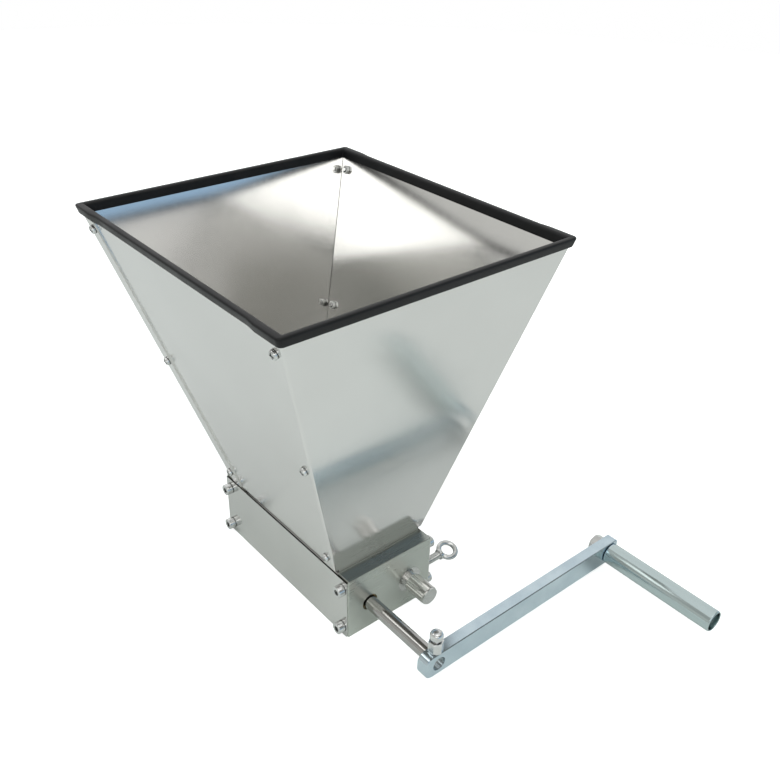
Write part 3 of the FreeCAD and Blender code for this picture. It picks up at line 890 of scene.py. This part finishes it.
def add_grip():
    """Handle tube with rounded ends and a recess for the bolt's head."""
    low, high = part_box("crank_grip")
    middle = (low + high) / 2
    radius = (high.z - low.z) / 2
    length = high.x - low.x
    floor = length - grip_recess_depth
    profile = [(grip_bore_radius, grip_lip), (grip_bore_radius + grip_lip, 0.0)]
    profile += arc(radius - grip_edge, grip_edge, grip_edge, -90, 0)
    profile += arc(radius - grip_edge, length - grip_edge, grip_edge, 0, 90)
    profile += arc(grip_recess_radius + grip_lip, length - grip_lip, grip_lip, 90, 180)
    profile += [(grip_recess_radius, floor), (grip_bore_radius, floor)]
    rings = [ring(reach, height, 2 * round_sides) for reach, height in profile]
    foot = Vector((low.x, middle.y, middle.z))
    tube = moved(skin(rings, looped=True), along(shaft_direction, foot))
    add_piece("crank_grip_detailed", "grip", "zinc_crank", [tube], "crank_grip")


def wire_eye(middle_radius, wire_radius):
    """Ring of round wire about Z."""
    rings = []
    for step in range(ring_steps):
        turn = Matrix.Rotation(2 * math.pi * step / ring_steps, 3, "Z")
        circle = ring(wire_radius, 0.0, wire_sides)
        rings.append([turn @ Vector((middle_radius + point.x, 0, point.y)) for point in circle])
    return skin(rings, looped=True)


def eye_shank(neck):
    """Threaded shank with a collar under the eye's wire, up to the neck's height."""
    tip_radius = 0.6 * lock_shank_radius
    neck_radius = eye_wire / 4
    collar_start = neck - lock_collar_length
    collar_inner = lock_collar_radius - lock_collar_round
    collar = arc(collar_inner, collar_start + lock_collar_round, lock_collar_round, -90, 0)
    collar += arc(collar_inner, neck - lock_collar_round, lock_collar_round, 0, 60)
    rings = [ring(tip_radius, 0.0)]
    rings += thread(lock_shank_radius, lock_pitch, lock_tip, collar_start - lock_undercut)
    rings.append(ring(lock_shank_radius, collar_start))
    rings += [ring(radius, height) for radius, height in collar]
    rings.append(ring(neck_radius, neck))
    return skin(rings)


def add_lock_bolts():
    """Eye bolts with a ring bent from round wire, a collar and a threaded shank."""
    wire = eye_wire / 2
    ring_radius = eye_bore / 2 + wire
    for side, twist in lock_twists.items():
        node = side + "_lock_bolt"
        low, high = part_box(node)
        middle = (low + high) / 2
        ring_y = high.y - ring_radius - wire
        place = Matrix.Translation((middle.x, ring_y, middle.z)) @ Matrix.Rotation(twist, 4, "Y")
        eye = moved(wire_eye(ring_radius, wire), place)
        foot = Vector((middle.x, low.y, middle.z))
        shank = moved(eye_shank(ring_y - ring_radius - low.y), along(Vector((0, 1, 0)), foot))
        add_piece(node + "_detailed", side + "_lock", "lock_steel", [eye, shank], node)


def trim_profile():
    """Closed outline of the rubber channel, across from the sheet's outer face and up from the rim."""
    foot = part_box("rim_trim")[0].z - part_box("hopper_rear_panel")[1].z
    outside = trim_wall
    inside = -rim_thickness - trim_wall
    middle = (outside + inside) / 2
    half_width = (outside - inside) / 2
    outline = [(trim_play, foot)]
    outline += arc(outside - trim_lip, foot + trim_lip, trim_lip, -90, 0, trim_lip_steps)
    for step in range(trim_crown_steps + 1):
        angle = math.pi * step / trim_crown_steps
        across = math.copysign(abs(math.cos(angle)) ** trim_roundness, math.cos(angle))
        rise = math.sin(angle) ** trim_roundness
        height = trim_shoulder + (trim_cover - trim_shoulder) * rise
        outline.append((middle + half_width * across, height))
    outline += arc(inside + trim_lip, foot + trim_lip, trim_lip, 180, 270, trim_lip_steps)
    inner_play = -rim_thickness - trim_play
    outline += [(inner_play, foot), (inner_play, 0.0), (trim_play, 0.0)]
    return outline


def rim_spot(side, share, bend, half_x, half_y, corner):
    """Place on a rounded rectangle: a share along one of its sides, or a bend round the next corner."""
    run_x = half_x - corner
    run_y = half_y - corner
    if bend is None:
        spot = Vector((share * run_x, -half_y)) if side % 2 == 0 else Vector((half_x, share * run_y))
    else:
        angle = math.pi / 2 * bend
        if side % 2 == 0:
            spot = Vector((run_x + corner * math.sin(angle), -run_y - corner * math.cos(angle)))
        else:
            spot = Vector((run_x + corner * math.cos(angle), run_y + corner * math.sin(angle)))
    return -spot if side > 1 else spot


def add_trim():
    """Rubber channel round the hopper's rim, bulging over the flanges on the front and rear."""
    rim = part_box("hopper_rear_panel")[1].z
    rim_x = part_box("hopper_drive_side_panel")[1].x
    rim_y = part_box("hopper_rear_panel")[1].y
    bulge_from = 1 - trim_bulge_reach / rim_x
    plain_to = bulge_from - trim_ramp / rim_x
    end_shares = [step / trim_side_steps for step in range(-trim_side_steps, trim_side_steps + 1)]
    front_shares = [-1.0, -bulge_from] + [plain_to * share for share in end_shares] + [bulge_from, 1.0]
    stations = []
    for side in range(4):
        shares = front_shares if side % 2 == 0 else end_shares
        stations += [(side, share, None) for share in shares[:-1]]
        stations += [(side, 1.0, step / corner_steps) for step in range(corner_steps)]
    outline = trim_profile()
    rings = []
    for side, share, bend in stations:
        swell = 1.0
        if side % 2 == 0 and bend is None:
            swell = max(0.0, min(1.0, (abs(share) - plain_to) / (bulge_from - plain_to)))
        section = []
        for offset, height in outline:
            bulge = swell * rim_thickness if offset > 0 else 0.0
            half_x = rim_x + height * math.tan(end_lean) + offset
            half_y = rim_y + height * math.tan(side_lean) + offset + bulge
            corner = max(trim_least_corner, trim_corner - trim_wall + offset)
            spot = rim_spot(side, share, bend, half_x, half_y, corner)
            section.append(Vector((spot.x, spot.y, rim + height)))
        rings.append(section)
    add_piece("rim_trim_detailed", "mill_body", "rim_rubber", [skin(rings, looped=True)], "rim_trim")


def dress_nodes():
    """Give every CAD node its slot's material and smooth its round faces."""
    slots = {entry["node"]: entry["material_slot"] for entry in frame["record"]["subparts"]}
    for node, piece in frame["nodes"].items():
        piece.data.materials.clear()
        piece.data.materials.append(materials[slots[node]])
        piece.data.shade_smooth()
        piece.data.set_sharp_from_angle(angle=sharp_angle)


add_camera()
add_world()
add_floor()
add_card("low_right_card", start=-25, end=95, low=0.0, high=0.75, colour=(0.41, 0.63, 0.88))
add_card("high_right_card", start=-25, end=46, low=0.75, high=2.7, colour=(0.20, 0.20, 0.18))
add_card("back_right_card", start=46, end=95, low=0.75, high=4.2, colour=(0.58, 0.60, 0.58))
add_card("left_card", start=200, end=222, low=0.0, high=2.06, colour=(0.52, 0.515, 0.49))
add_card("low_front_card", start=222, end=335, low=0.0, high=1.2, colour=(0.70, 0.70, 0.68))
add_card("high_front_card", start=222, end=335, low=1.2, high=3.6, colour=(0.52, 0.52, 0.50))
add_soft_light("key_light", place=(1.177, -0.841, 0.89), target=(-0.038, -0.047, 0.05),
               width=1.40, height=0.36, radiance=2.1)
add_soft_light("top_light", place=(0.62, -0.26, 1.85), target=(0, 0, 0.1),
               width=0.7, height=0.6, radiance=1.8)
add_soft_light("side_light", place=(1.04, 0.76, 1.68), target=(0, 0, 0.2),
               width=0.5, height=0.5, radiance=0.9)
add_soft_light("back_light", place=(-1.88, 0.30, 1.05), target=(0, 0, 0.2),
               width=1.5, height=0.6, radiance=0.15)
add_soft_light("strip_light", place=(-0.91, -0.91, 1.60), target=(0, 0, 0.1),
               width=0.6, height=0.2, radiance=3.0)
dress_nodes()
add_screws()
add_nuts()
add_clamp_screw()
add_grip()
add_lock_bolts()
add_trim()

bpy.context.scene.view_settings.view_transform = "Standard"
